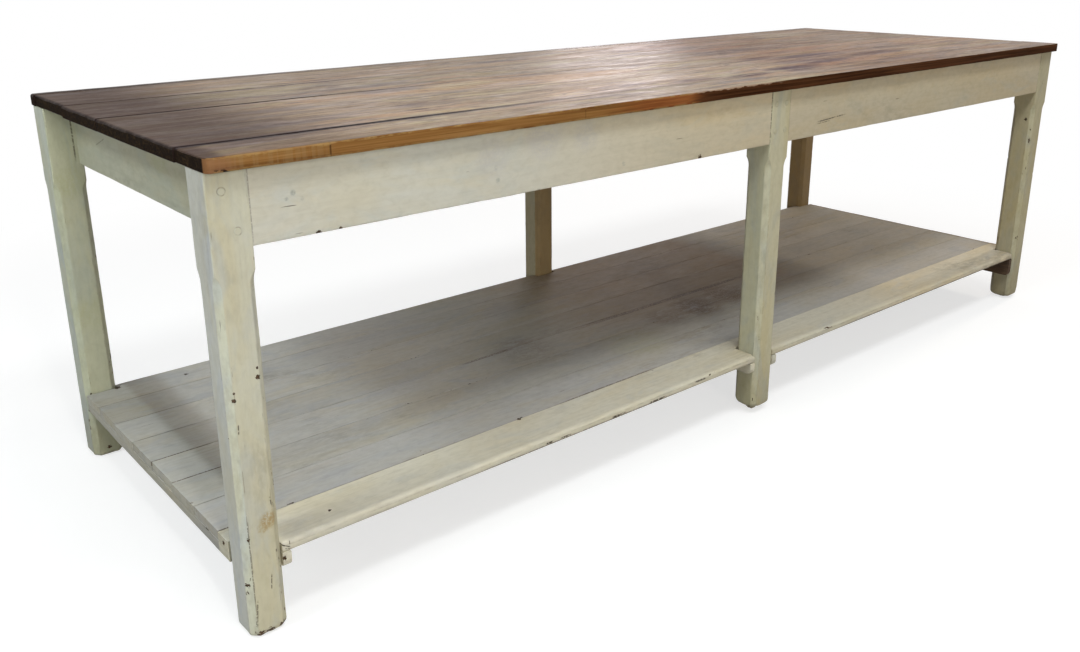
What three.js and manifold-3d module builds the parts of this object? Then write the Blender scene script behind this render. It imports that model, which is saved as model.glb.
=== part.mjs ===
// Kitchen island: a long six-legged work table with a plank top and a slatted pot shelf.
// Millimetres, +Z up, the origin on the floor under the middle of the table.
// X runs along the table, and the front is the side at -Y.

import * as THREE from 'three';
import { mergeVertices } from 'three/addons/utils/BufferGeometryUtils.js';
import Module from 'manifold-3d';

const wasm = await Module();
wasm.setup();

// Overall sizes
const tableHeight = 850;
const topLength = 2794;
const topThickness = 25;
const endOverhang = 4;
const frontOverhang = 16;

// Planks of the top, from the front to the back
const frontPlankWidth = 118;
const widePlankWidth = 378;
const centrePlankWidth = 214;
const backPlankWidth = 217;
const backStripWidth = 30;
const plankGap = 1.25;
const plankEndStep = 3;
const plankArris = 1.5;
const topCornerRadius = 11;

// Legs
const legWidth = 70;
const chamferWidth = 9;
const chamferStopDrop = 37;
const chamferStopLength = 24;
const footArris = 8;

// Aprons along the front and the back
const apronDepth = 126;
const apronThickness = 25;
const apronSetback = 1.5;

// End rails, set back between the end legs and lapped behind them
const endRailRecess = 60;
const endRailThickness = 25;
const endRailApronClearance = 5;

// Cross rail between the middle legs
const crossRailDepth = 100;
const crossRailThickness = 25;

// Mortise and tenon joints
const tenonThickness = 10;
const tenonShoulder = 15;
const legWoodPastTenon = 15;
const legWoodBetweenTenons = 10;
const jointClearance = 0.3;

// Pegs through the tenons
const pegRadius = 6;
const pegPastTenon = 12;
const pegProud = 0.6;
const pegArris = 1;

// Screws that hold the end rails to the legs
const screwRadius = 3;
const screwHeadRadius = 6;
const screwHeadThickness = 3;
const screwReach = 25;
const screwPointLength = 6;

// Shelf boards
const shelfHeight = 164;
const boardCount = 8;
const boardThickness = 20;
const boardGap = 1.5;
const boardArris = 1;
const shelfFrontInset = 5;
const shelfBackInset = 45;
const shelfEndInset = 1;
const boardEndStep = 1;
const notchClearance = 0.8;
const nosingTopRadius = 8;
const nosingLowRadius = 5;

// Bearers and end battens under the shelf
const bearerThickness = 17;
const bearerDepth = 29;
const rightBearerDepth = 56;
const bearerEndInset = 4;
const bearerNoseRadius = 12;
const endBattenThickness = 18;
const endBattenDepth = 22;
const endBattenArris = 4;

// Cuts run this far past the material that they cut
const overrun = 2;

// Counts of straight steps in round shapes
const pegSides = 12;
const cornerSteps = 4;
const stopSteps = 4;

// Peg places on each tenon, along its length from the shoulder and up the depth of the apron
const leftPegShares = [{ along: 0.44, up: 0.23 }, { along: 0.8, up: 0.75 }];
const rightPegShares = [{ along: 0.24, up: 0.62 }, { along: 0.66, up: 0.24 }];
const middlePegShares = [{ along: 0.55, up: 0.24 }, { along: 0.55, up: 0.75 }];

// Screw heights in an end rail, up its depth
const screwHeightShares = [0.36, 0.6];

// The top stands on everything that ends at its underside
const plankWidths = [frontPlankWidth, widePlankWidth, centrePlankWidth, backPlankWidth, backStripWidth];
const topDepth = plankWidths.reduce((sum, width) => sum + width, (plankWidths.length - 1) * plankGap);
const topUnderside = tableHeight - topThickness;
const frameLength = topLength - 2 * endOverhang;
const frameDepth = topDepth - 2 * frontOverhang;

// Centre lines and inner faces of the legs
const legX = (frameLength - legWidth) / 2;
const legY = (frameDepth - legWidth) / 2;
const legInnerX = frameLength / 2 - legWidth;
const legInnerY = frameDepth / 2 - legWidth;

// Aprons and their tenons
const apronBottom = topUnderside - apronDepth;
const apronY = frameDepth / 2 - apronSetback - apronThickness / 2;
const endTenonLength = legWidth - legWoodPastTenon;
const middleTenonLength = (legWidth - legWoodBetweenTenons) / 2;
const pegLength = frameDepth / 2 - apronY + tenonThickness / 2 + pegPastTenon;

// Finishes
const paint = { color: 0xc4c1a6, roughness: 0.62, metalness: 0 };
const shelfPaint = { color: 0xaaa694, roughness: 0.72, metalness: 0 };
const topWood = { color: 0x7b6150, roughness: 0.42, metalness: 0 };
const bareWood = { color: 0x5a4634, roughness: 0.8, metalness: 0 };
const iron = { color: 0x3a3630, roughness: 0.6, metalness: 0.9 };

// A closed geometry becomes a solid that can be cut
function toSolid(geometry) {
  const bare = geometry.clone();
  bare.deleteAttribute('normal');
  bare.deleteAttribute('uv');
  const welded = mergeVertices(bare);
  const vertProperties = new Float32Array(welded.attributes.position.array);
  const triVerts = new Uint32Array(welded.index.array);
  return new wasm.Manifold(new wasm.Mesh({ numProp: 3, vertProperties, triVerts }));
}

// A solid becomes a geometry again
function toGeometry(solid) {
  const mesh = solid.getMesh();
  const geometry = new THREE.BufferGeometry();
  geometry.setAttribute('position', new THREE.BufferAttribute(mesh.vertProperties, mesh.numProp));
  geometry.setIndex(new THREE.BufferAttribute(mesh.triVerts, 1));
  geometry.computeVertexNormals();
  return geometry;
}

// Two geometries joined into one
function join(first, second) {
  return toGeometry(toSolid(first).add(toSolid(second)));
}

// What is left of a geometry once each of the cutters is taken away
function cut(geometry, cutters) {
  let solid = toSolid(geometry);
  for (const cutter of cutters) {
    solid = solid.subtract(toSolid(cutter));
  }
  return toGeometry(solid);
}

// A block given by its two limits along each axis, in either order
function block([x1, x2], [y1, y2], [z1, z2]) {
  const box = new THREE.BoxGeometry(Math.abs(x2 - x1), Math.abs(y2 - y1), Math.abs(z2 - z1));
  return box.translate((x1 + x2) / 2, (y1 + y2) / 2, (z1 + z2) / 2);
}

// An outline drawn in Y and Z, pulled along X from one place to another
function prismAlongX(outline, fromX, toX) {
  const shape = new THREE.Shape(outline.map(([y, z]) => new THREE.Vector2(y, z)));
  const geometry = new THREE.ExtrudeGeometry(shape, { depth: toX - fromX, bevelEnabled: false });
  const xAxis = new THREE.Vector3(1, 0, 0);
  const yAxis = new THREE.Vector3(0, 1, 0);
  const zAxis = new THREE.Vector3(0, 0, 1);
  geometry.applyMatrix4(new THREE.Matrix4().makeBasis(yAxis, zAxis, xAxis));
  return geometry.translate(fromX, 0, 0);
}

// Round bars for holes, centred on a point
function barAlongY(radius, length, x, y, z) {
  return new THREE.CylinderGeometry(radius, radius, length, pegSides).translate(x, y, z);
}

function barAlongX(radius, length, x, y, z) {
  return new THREE.CylinderGeometry(radius, radius, length, pegSides).rotateZ(Math.PI / 2).translate(x, y, z);
}

// Points of a quarter circle round a centre, turning left from an angle
function quarterCircle(centreA, centreB, radius, fromAngle) {
  const points = [];
  for (let step = 0; step <= cornerSteps; step += 1) {
    const angle = fromAngle + ((Math.PI / 2) * step) / cornerSteps;
    points.push([centreA + radius * Math.cos(angle), centreB + radius * Math.sin(angle)]);
  }
  return points;
}

const island = new THREE.Group();

// Adds one named piece to the table
function place(name, geometry, finish, x = 0, y = 0, z = 0) {
  const mesh = new THREE.Mesh(geometry, new THREE.MeshStandardMaterial(finish));
  mesh.name = name;
  mesh.position.set(x, y, z);
  island.add(mesh);
}

const sides = [{ sideName: 'front', sideY: -1 }, { sideName: 'back', sideY: 1 }];
const ends = [{ endName: 'left', endX: -1 }, { endName: 'right', endX: 1 }];

// Legs: square heads, and below them a stopped chamfer on all four edges

// Cuts one edge of a leg: a flat at 45 degrees that curves out to nothing at its stop
function chamferCutter(turns) {
  const depth = chamferWidth / Math.SQRT2;
  const outside = -(depth + overrun);
  const stopTop = apronBottom - chamferStopDrop;
  const stopBottom = stopTop - chamferStopLength;
  const outline = [new THREE.Vector2(outside, -overrun), new THREE.Vector2(depth, -overrun)];
  for (let step = 0; step <= stopSteps; step += 1) {
    const rise = step / stopSteps;
    outline.push(new THREE.Vector2(depth * (1 - rise * rise), stopBottom + chamferStopLength * rise));
  }
  outline.push(new THREE.Vector2(outside, stopTop));
  const width = 2 * (chamferWidth + overrun);
  const cutter = new THREE.ExtrudeGeometry(new THREE.Shape(outline), { depth: width, bevelEnabled: false });
  cutter.translate(0, 0, -width / 2);
  cutter.rotateX(Math.PI / 2);
  cutter.rotateZ(Math.PI / 4);
  cutter.translate(-legWidth / 2, -legWidth / 2, 0);
  return cutter.rotateZ((turns * Math.PI) / 2);
}

// Eases one lower edge of a foot
function footCutter(turns) {
  const edge = -legWidth / 2;
  const outline = [
    [edge - overrun, -overrun],
    [edge + footArris + overrun, -overrun],
    [edge - overrun, footArris + overrun],
  ];
  const reach = legWidth / 2 + overrun;
  return prismAlongX(outline, -reach, reach).rotateZ((turns * Math.PI) / 2);
}

// The hole for an apron's tenon, entered from the leg's face towards the apron
function apronMortise(towards, sideY, length) {
  const mouth = towards * (legWidth / 2 + overrun);
  const floor = towards * (legWidth / 2 - length - jointClearance);
  const middleY = sideY * (apronY - legY);
  const halfThickness = tenonThickness / 2 + jointClearance;
  const bottom = apronBottom + tenonShoulder - jointClearance;
  const top = topUnderside - tenonShoulder + jointClearance;
  return block([floor, mouth], [middleY - halfThickness, middleY + halfThickness], [bottom, top]);
}

// The hole for the cross rail's tenon in a middle leg, entered from its inner face
function crossMortise(sideY) {
  const mouth = -sideY * (legWidth / 2 + overrun);
  const floor = -sideY * (legWidth / 2 - middleTenonLength - jointClearance);
  const halfThickness = tenonThickness / 2 + jointClearance;
  const bottom = topUnderside - crossRailDepth + tenonShoulder - jointClearance;
  const top = topUnderside - tenonShoulder + jointClearance;
  return block([-halfThickness, halfThickness], [floor, mouth], [bottom, top]);
}

// Peg places of one tenon, measured along X from the leg's centre line and up from the floor
function pegPlaces({ towards, length, pegShares }) {
  return pegShares.map(({ along, up }) => ({
    x: towards * (legWidth / 2 - along * length),
    z: apronBottom + up * apronDepth,
  }));
}

// The hole of a peg, open at the leg's outer face and blind at its inner end
function pegHole(peg, sideY) {
  const depth = pegLength + jointClearance;
  const middleY = (sideY * (legWidth - depth + overrun)) / 2;
  return barAlongY(pegRadius + jointClearance, depth + overrun, peg.x, middleY, peg.z);
}

// Screws stand in the middle of the end rails' laps
const lapEnd = apronY - apronThickness / 2 - endRailApronClearance;
const screwY = (legInnerY + lapEnd) / 2;
const screwHeights = screwHeightShares.map((share) => apronBottom + share * apronDepth);

// The hole of a screw in an end leg, entered from the face behind which the rail is lapped
function screwHole(endX, sideY, height) {
  const depth = screwReach + jointClearance;
  const middleX = (-endX * (legWidth - depth + overrun)) / 2;
  return barAlongX(screwRadius + jointClearance, depth + overrun, middleX, sideY * (screwY - legY), height);
}

// One leg, with the tenons that enter it and its other holes
function makeLeg(name, x, sideY, tenons, otherHoles) {
  const half = legWidth / 2;
  const cutters = [...otherHoles];
  for (let turns = 0; turns < 4; turns += 1) {
    cutters.push(chamferCutter(turns), footCutter(turns));
  }
  for (const tenon of tenons) {
    cutters.push(apronMortise(tenon.towards, sideY, tenon.length));
    cutters.push(...pegPlaces(tenon).map((peg) => pegHole(peg, sideY)));
  }
  const blank = block([-half, half], [-half, half], [0, topUnderside]);
  place(name, cut(blank, cutters), paint, x, sideY * legY, 0);
}

// Each tenon as its leg sees it: the direction of its apron, its length and its pegs
const leftTenon = { towards: 1, length: endTenonLength, pegShares: leftPegShares };
const rightTenon = { towards: -1, length: endTenonLength, pegShares: rightPegShares };
const middleLeftTenon = { towards: -1, length: middleTenonLength, pegShares: middlePegShares };
const middleRightTenon = { towards: 1, length: middleTenonLength, pegShares: middlePegShares };

for (const { sideName, sideY } of sides) {
  const leftHoles = screwHeights.map((height) => screwHole(-1, sideY, height));
  const rightHoles = screwHeights.map((height) => screwHole(1, sideY, height));
  makeLeg(`leg_${sideName}_left`, -legX, sideY, [leftTenon], leftHoles);
  makeLeg(`leg_${sideName}_middle`, 0, sideY, [middleLeftTenon, middleRightTenon], [crossMortise(sideY)]);
  makeLeg(`leg_${sideName}_right`, legX, sideY, [rightTenon], rightHoles);
}

// Pegs: through the leg's cheek and the tenon, standing a little proud of the leg

function makePeg(name, x, sideY, z) {
  const outline = [
    new THREE.Vector2(0, 0),
    new THREE.Vector2(pegRadius, 0),
    new THREE.Vector2(pegRadius, pegLength + pegProud - pegArris),
    new THREE.Vector2(pegRadius - pegArris, pegLength + pegProud),
    new THREE.Vector2(0, pegLength + pegProud),
  ];
  const peg = new THREE.LatheGeometry(outline, pegSides).rotateZ(sideY > 0 ? 0 : Math.PI);
  place(name, peg, paint, x, sideY * (frameDepth / 2 - pegLength), z);
}

const pegJoints = [
  { jointName: 'left', jointX: -legX, tenon: leftTenon },
  { jointName: 'middle_left', jointX: 0, tenon: middleLeftTenon },
  { jointName: 'middle_right', jointX: 0, tenon: middleRightTenon },
  { jointName: 'right', jointX: legX, tenon: rightTenon },
];

for (const { sideName, sideY } of sides) {
  for (const { jointName, jointX, tenon } of pegJoints) {
    pegPlaces(tenon).forEach((peg, index) => {
      makePeg(`peg_${sideName}_${jointName}_${index + 1}`, jointX + peg.x, sideY, peg.z);
    });
  }
}

// Aprons: one board in each bay, front and back, tenoned into the legs at both ends

function makeApron(name, sideY, leftLegX, leftJoint, rightLegX, rightJoint) {
  const fromX = leftLegX + legWidth / 2;
  const toX = rightLegX - legWidth / 2;
  const halfThickness = apronThickness / 2;
  const halfTenon = tenonThickness / 2;
  const board = block(
    [fromX + jointClearance, toX - jointClearance],
    [-halfThickness, halfThickness],
    [apronBottom, topUnderside],
  );
  const tenons = block(
    [fromX - leftJoint.length, toX + rightJoint.length],
    [-halfTenon, halfTenon],
    [apronBottom + tenonShoulder, topUnderside - tenonShoulder],
  );
  const holeLength = tenonThickness + 2 * overrun;
  const leftHoles = pegPlaces(leftJoint).map((peg) => ({ x: leftLegX + peg.x, z: peg.z }));
  const rightHoles = pegPlaces(rightJoint).map((peg) => ({ x: rightLegX + peg.x, z: peg.z }));
  const holes = [...leftHoles, ...rightHoles].map(({ x, z }) => {
    return barAlongY(pegRadius + jointClearance, holeLength, x, 0, z);
  });
  place(name, cut(join(board, tenons), holes), paint, 0, sideY * apronY, 0);
}

for (const { sideName, sideY } of sides) {
  makeApron(`apron_${sideName}_left`, sideY, -legX, leftTenon, 0, middleLeftTenon);
  makeApron(`apron_${sideName}_right`, sideY, 0, middleRightTenon, legX, rightTenon);
}

// End rails: their faces between the legs, their laps screwed to the legs from behind

const endRailFace = frameLength / 2 - endRailRecess;
const endRailBack = endRailFace - endRailThickness;

function makeEndRail(name, endX) {
  const betweenLegs = legInnerY - jointClearance;
  const heights = [apronBottom, topUnderside];
  const tongue = block([endRailBack, endRailFace], [-betweenLegs, betweenLegs], heights);
  const lap = block([endRailBack, legInnerX], [-lapEnd, lapEnd], heights);
  const lapMiddle = (endRailBack + legInnerX) / 2;
  const holeLength = legInnerX - endRailBack + 2 * overrun;
  const holes = [];
  for (const { sideY } of sides) {
    for (const height of screwHeights) {
      holes.push(barAlongX(screwRadius + jointClearance, holeLength, lapMiddle, sideY * screwY, height));
    }
  }
  const rail = cut(join(tongue, lap), holes).rotateZ(endX > 0 ? 0 : Math.PI);
  place(name, rail, paint);
}

// A screw along X, its head on the back of the end rail and its point in the leg
function makeScrew(name, endX, sideY, height) {
  const shankLength = legInnerX - endRailBack + screwReach;
  const outline = [
    new THREE.Vector2(0, -screwHeadThickness),
    new THREE.Vector2(screwHeadRadius, -screwHeadThickness / 2),
    new THREE.Vector2(screwHeadRadius, 0),
    new THREE.Vector2(screwRadius, 0),
    new THREE.Vector2(screwRadius, shankLength - screwPointLength),
    new THREE.Vector2(0, shankLength),
  ];
  const screw = new THREE.LatheGeometry(outline, pegSides).rotateZ((-endX * Math.PI) / 2);
  place(name, screw, iron, endX * endRailBack, sideY * screwY, height);
}

for (const { endName, endX } of ends) {
  makeEndRail(`end_rail_${endName}`, endX);
  for (const { sideName, sideY } of sides) {
    screwHeights.forEach((height, index) => {
      makeScrew(`rail_screw_${endName}_${sideName}_${index + 1}`, endX, sideY, height);
    });
  }
}

// Cross rail: tenoned between the two middle legs

function makeCrossRail(name) {
  const halfThickness = crossRailThickness / 2;
  const halfTenon = tenonThickness / 2;
  const bottom = topUnderside - crossRailDepth;
  const shoulder = legInnerY - jointClearance;
  const tenonEnd = legInnerY + middleTenonLength;
  const board = block([-halfThickness, halfThickness], [-shoulder, shoulder], [bottom, topUnderside]);
  const tenons = block(
    [-halfTenon, halfTenon],
    [-tenonEnd, tenonEnd],
    [bottom + tenonShoulder, topUnderside - tenonShoulder],
  );
  place(name, join(board, tenons), bareWood);
}

makeCrossRail('cross_rail_middle');

// Top: planks along the table, their ends a few millimetres out of line

// One corner of a plank seen from above, square or rounded
function planCorner(x, y, towardsX, towardsY, radius, fromAngle) {
  if (radius > 0) {
    return quarterCircle(x + towardsX * radius, y + towardsY * radius, radius, fromAngle);
  }
  return [[x, y]];
}

// A plank with all its edges eased; its front corners, its back corners or none are rounded
function makePlank(name, fromX, toX, width, frontY, frontRadius, backRadius) {
  const outline = [
    ...planCorner(fromX, 0, 1, 1, frontRadius, Math.PI),
    ...planCorner(toX, 0, -1, 1, frontRadius, 1.5 * Math.PI),
    ...planCorner(toX, width, -1, -1, backRadius, 0),
    ...planCorner(fromX, width, 1, -1, backRadius, 0.5 * Math.PI),
  ];
  const shape = new THREE.Shape(outline.map(([x, y]) => new THREE.Vector2(x, y)));
  const plank = new THREE.ExtrudeGeometry(shape, {
    depth: topThickness - 2 * plankArris,
    bevelThickness: plankArris,
    bevelSize: plankArris,
    bevelOffset: -plankArris,
    bevelSegments: 1,
  });
  place(name, plank, topWood, 0, frontY, topUnderside + plankArris);
}

// How many steps each plank's ends stand back from the ends of the longest
const planks = [
  { name: 'front', width: frontPlankWidth, leftSteps: 1, rightSteps: 0, frontRadius: topCornerRadius },
  { name: 'wide', width: widePlankWidth, leftSteps: 0, rightSteps: 1 },
  { name: 'centre', width: centrePlankWidth, leftSteps: 0, rightSteps: 0 },
  { name: 'back', width: backPlankWidth, leftSteps: 2, rightSteps: 1 },
  { name: 'back_strip', width: backStripWidth, leftSteps: 1, rightSteps: 0, backRadius: topCornerRadius },
];

let plankFrontY = -topDepth / 2;
for (const { name, width, leftSteps, rightSteps, frontRadius = 0, backRadius = 0 } of planks) {
  const fromX = leftSteps * plankEndStep - topLength / 2;
  const toX = topLength / 2 - rightSteps * plankEndStep;
  makePlank(`top_plank_${name}`, fromX, toX, width, plankFrontY, frontRadius, backRadius);
  plankFrontY += width + plankGap;
}

// Shelf: boards along the table, the outer two notched round the legs

const boardBottom = shelfHeight - boardThickness;
const shelfFrontEdge = frameDepth / 2 - shelfFrontInset;
const shelfBackEdge = frameDepth / 2 - shelfBackInset;
const boardWidth = (shelfFrontEdge + shelfBackEdge - (boardCount - 1) * boardGap) / boardCount;
const shelfLength = frameLength - 2 * shelfEndInset;

// How many steps each board's ends stand back, from the front board to the back one
const boardEndSteps = [0, 1, 0, 2, 1, 0, 1, 0];

// The section of an inner board, its two upper edges eased
function innerBoardOutline() {
  return [
    [0, 0],
    [boardWidth, 0],
    [boardWidth, boardThickness - boardArris],
    [boardWidth - boardArris, boardThickness],
    [boardArris, boardThickness],
    [0, boardThickness - boardArris],
  ];
}

// The section of an outer board, its free edge rounded above and below
function nosedBoardOutline() {
  const topCentre = boardThickness - nosingTopRadius;
  return [
    [boardWidth, 0],
    [boardWidth, boardThickness - boardArris],
    [boardWidth - boardArris, boardThickness],
    ...quarterCircle(nosingTopRadius, topCentre, nosingTopRadius, 0.5 * Math.PI),
    ...quarterCircle(nosingLowRadius, nosingLowRadius, nosingLowRadius, Math.PI),
  ];
}

// Notches round the front legs; those of the end legs are open at the board's ends
function legNotches() {
  const half = legWidth / 2 + notchClearance;
  const depths = [-frameDepth / 2 - overrun, -legInnerY + notchClearance];
  const heights = [boardBottom - overrun, shelfHeight + overrun];
  return [
    block([-legX - half - overrun, -legX + half], depths, heights),
    block([-half, half], depths, heights),
    block([legX - half, legX + half + overrun], depths, heights),
  ];
}

// The front board, or the back board when it is turned about; its free edge is so far from the middle
function outerBoard(halfLength, edge, turn) {
  const blank = prismAlongX(nosedBoardOutline(), -halfLength, halfLength).translate(0, -edge, boardBottom);
  return cut(blank, legNotches()).rotateZ(turn);
}

for (let index = 0; index < boardCount; index += 1) {
  const name = `shelf_board_${index + 1}`;
  const halfLength = shelfLength / 2 - boardEndSteps[index % boardEndSteps.length] * boardEndStep;
  if (index === 0) {
    place(name, outerBoard(halfLength, shelfFrontEdge, 0), shelfPaint);
  } else if (index === boardCount - 1) {
    place(name, outerBoard(halfLength, shelfBackEdge, Math.PI), shelfPaint);
  } else {
    const frontY = index * (boardWidth + boardGap) - shelfFrontEdge;
    const board = prismAlongX(innerBoardOutline(), -halfLength, halfLength);
    place(name, board, shelfPaint, 0, frontY, boardBottom);
  }
}

// Bearers: battens across the table against the legs, with rounded lower ends

function makeBearer(name, fromX, depth, finish) {
  const end = frameDepth / 2 - bearerEndInset;
  const outline = [
    [-end, depth],
    ...quarterCircle(bearerNoseRadius - end, bearerNoseRadius, bearerNoseRadius, Math.PI),
    ...quarterCircle(end - bearerNoseRadius, bearerNoseRadius, bearerNoseRadius, 1.5 * Math.PI),
    [end, depth],
  ];
  place(name, prismAlongX(outline, 0, bearerThickness), finish, fromX, 0, boardBottom - depth);
}

makeBearer('shelf_bearer_left', -legInnerX, bearerDepth, paint);
makeBearer('shelf_bearer_middle_left', -legWidth / 2 - bearerThickness, bearerDepth, paint);
makeBearer('shelf_bearer_middle_right', legWidth / 2, bearerDepth, paint);
makeBearer('shelf_bearer_right', legInnerX - bearerThickness, rightBearerDepth, bareWood);

// End battens: under the ends of the boards, between the front and the back leg

function makeEndBatten(name, endX) {
  const outer = shelfLength / 2;
  const end = legInnerY - notchClearance;
  const bottom = boardBottom - endBattenDepth;
  const blank = block([outer - endBattenThickness, outer], [-end, end], [bottom, boardBottom]);
  const easing = new THREE.Shape([
    new THREE.Vector2(outer + overrun, bottom - overrun),
    new THREE.Vector2(outer + overrun, bottom + endBattenArris + overrun),
    new THREE.Vector2(outer - endBattenArris - overrun, bottom - overrun),
  ]);
  const reach = end + overrun;
  const cutter = new THREE.ExtrudeGeometry(easing, { depth: 2 * reach, bevelEnabled: false });
  cutter.translate(0, 0, -reach);
  cutter.rotateX(Math.PI / 2);
  place(name, cut(blank, [cutter]).rotateZ(endX > 0 ? 0 : Math.PI), paint);
}

for (const { endName, endX } of ends) {
  makeEndBatten(`shelf_end_batten_${endName}`, endX);
}

export default island;
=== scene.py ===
import math
import random
from functools import cached_property

import bmesh
import bpy
from mathutils import Matrix, Vector, noise


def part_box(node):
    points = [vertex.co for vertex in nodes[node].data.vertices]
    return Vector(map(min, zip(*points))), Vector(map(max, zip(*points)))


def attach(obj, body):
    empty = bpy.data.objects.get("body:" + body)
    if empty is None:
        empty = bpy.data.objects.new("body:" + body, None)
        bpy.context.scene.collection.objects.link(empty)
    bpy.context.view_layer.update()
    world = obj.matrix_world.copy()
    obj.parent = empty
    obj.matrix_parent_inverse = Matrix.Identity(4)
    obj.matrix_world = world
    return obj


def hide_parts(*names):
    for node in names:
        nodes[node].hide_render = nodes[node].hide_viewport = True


# A long rustic kitchen island: worn cream paint on legs, aprons and shelf, and a waxed brown plank top.
# Metres, +Z up, the front at -Y. Every wooden piece is a mesh of its own, worn at its edges, that stands
# for the plain solid of the same name.

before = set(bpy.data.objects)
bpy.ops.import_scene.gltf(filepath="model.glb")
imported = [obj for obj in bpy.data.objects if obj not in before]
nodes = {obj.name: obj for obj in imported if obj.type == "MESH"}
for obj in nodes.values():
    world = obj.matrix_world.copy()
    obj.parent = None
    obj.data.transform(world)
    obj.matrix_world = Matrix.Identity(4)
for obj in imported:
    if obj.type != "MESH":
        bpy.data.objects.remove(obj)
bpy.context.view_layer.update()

# Sizes of the table that its pieces share
leg_low, leg_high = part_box("leg_front_left")
apron_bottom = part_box("apron_front_left")[0].z
shelf_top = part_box("shelf_board_2")[1].z
chamfer_width = 0.0118
stop_drop = 0.037
stop_length = 0.024
stop_top = apron_bottom - stop_drop
stop_bottom = stop_top - stop_length
rim_reach = 0.004
wear_reach = 0.012


# Noise and small helpers for the meshes

def ripple(point, scale, seed):
    """Smooth noise from -1 to 1 at a point, with features about 1 / scale metres long."""
    return noise.noise(Vector(point) * scale + Vector((seed * 7.31, seed * 3.17, seed * 5.53)))


def held(value):
    """The value, held between 0 and 1."""
    return max(0.0, min(1.0, value))


def spread(low, high, spacing):
    """Evenly spaced numbers from low to high, no further apart than the spacing."""
    count = max(1, math.ceil((high - low) / spacing))
    return [low + (high - low) * index / count for index in range(count + 1)]


def near_edges(low, high, spacing, arris):
    """Like spread, with extra numbers close to both ends for a rounded edge and its wear."""
    steps = [0, 0.3 * arris, arris, 2.5 * arris]
    inset = 5 * arris
    inner = spread(low + inset, high - inset, spacing)
    return [low + step for step in steps] + inner + [high - step for step in reversed(steps)]


def joined_lines(marks, settings):
    """The lines of several stretches between marks, each with its own spacing and arris."""
    lines = []
    for start, end, (spacing, arris) in zip(marks, marks[1:], settings):
        lines += near_edges(start, end, spacing, arris)[:-1]
    return lines + [marks[-1]]


def quarter_drop(distance, radius):
    """How far a rounded edge falls below the flat, at a distance from the rim."""
    if distance >= radius:
        return 0
    return radius - math.sqrt(max(0.0, distance * (2 * radius - distance)))


def spans_of(node, axes):
    """The low and the high place of a node's solid along each of the named axes."""
    low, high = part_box(node)
    return [(low["xyz".index(axis)], high["xyz".index(axis)]) for axis in axes]


def placed(axes, places):
    """The point of the table with these places along the named axes."""
    return [place for _, place in sorted(zip(axes, places))]


def rim_segments(lines_u, lines_v, solid):
    """The sides between filled and empty cells, as (u1, v1, u2, v2)."""
    segments = []
    for i, (u1, u2) in enumerate(zip(lines_u, lines_u[1:])):
        for j, (v1, v2) in enumerate(zip(lines_v, lines_v[1:])):
            sides = [
                (i - 1, j, (u1, v1, u1, v2)),
                (i + 1, j, (u2, v1, u2, v2)),
                (i, j - 1, (u1, v1, u2, v1)),
                (i, j + 1, (u1, v2, u2, v2)),
            ]
            if solid(i, j):
                segments += [side for beyond_i, beyond_j, side in sides if not solid(beyond_i, beyond_j)]
    return merged(segments)


def merged(segments):
    """Segments on one line that touch each other become one, so that distances are quick to find."""
    rows = {}
    for u1, v1, u2, v2 in segments:
        if u1 == u2:
            rows.setdefault(("u", u1), []).append((v1, v2))
        else:
            rows.setdefault(("v", v1), []).append((u1, u2))
    result = []
    for (kind, place), spans in rows.items():
        spans.sort()
        joined = [list(spans[0])]
        for low, high in spans[1:]:
            if low <= joined[-1][1] + 1e-9:
                joined[-1][1] = max(high, joined[-1][1])
            else:
                joined.append([low, high])
        for low, high in joined:
            result.append((place, low, place, high) if kind == "u" else (low, place, high, place))
    return result


def rim_distance(u, v, segments):
    """How far a place is from the nearest segment of the rim."""
    return min(
        math.hypot(max(u1 - u, 0, u - u2), max(v1 - v, 0, v - v2))
        for u1, v1, u2, v2 in segments)


def finish_piece(node, bm, materials, axes, wear, seed, smooth_angle=0.6, origin=(0, 0, 0)):
    """Makes the object of a mesh, with the attributes that its material reads, in place of a solid.

    The grain runs along the first of the named axes, and origin is where it is measured from.
    """
    name = f"worn_{node}"
    bmesh.ops.recalc_face_normals(bm, faces=bm.faces)
    mesh = bpy.data.meshes.new(name)
    bm.to_mesh(mesh)
    bm.free()
    for material in materials:
        mesh.materials.append(material)
    order = ["xyz".index(axis) for axis in axes]
    places = []
    for vertex in mesh.vertices:
        along, across, depth = (vertex.co[index] - origin[index] for index in order)
        places += [along + seed * 1.37, across + seed * 0.61, depth]
    tone = random.Random(seed).random()
    mesh.attributes.new("grain", "FLOAT_VECTOR", "POINT").data.foreach_set("vector", places)
    mesh.attributes.new("wear", "FLOAT", "POINT").data.foreach_set("value", wear)
    mesh.attributes.new("tone", "FLOAT", "POINT").data.foreach_set("value", [tone] * len(wear))
    mesh.shade_smooth()
    mesh.set_sharp_from_angle(angle=smooth_angle)
    piece = bpy.data.objects.new(name, mesh)
    bpy.context.scene.collection.objects.link(piece)
    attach(piece, "root")
    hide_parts(node)


def always(u, v):
    return True


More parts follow.
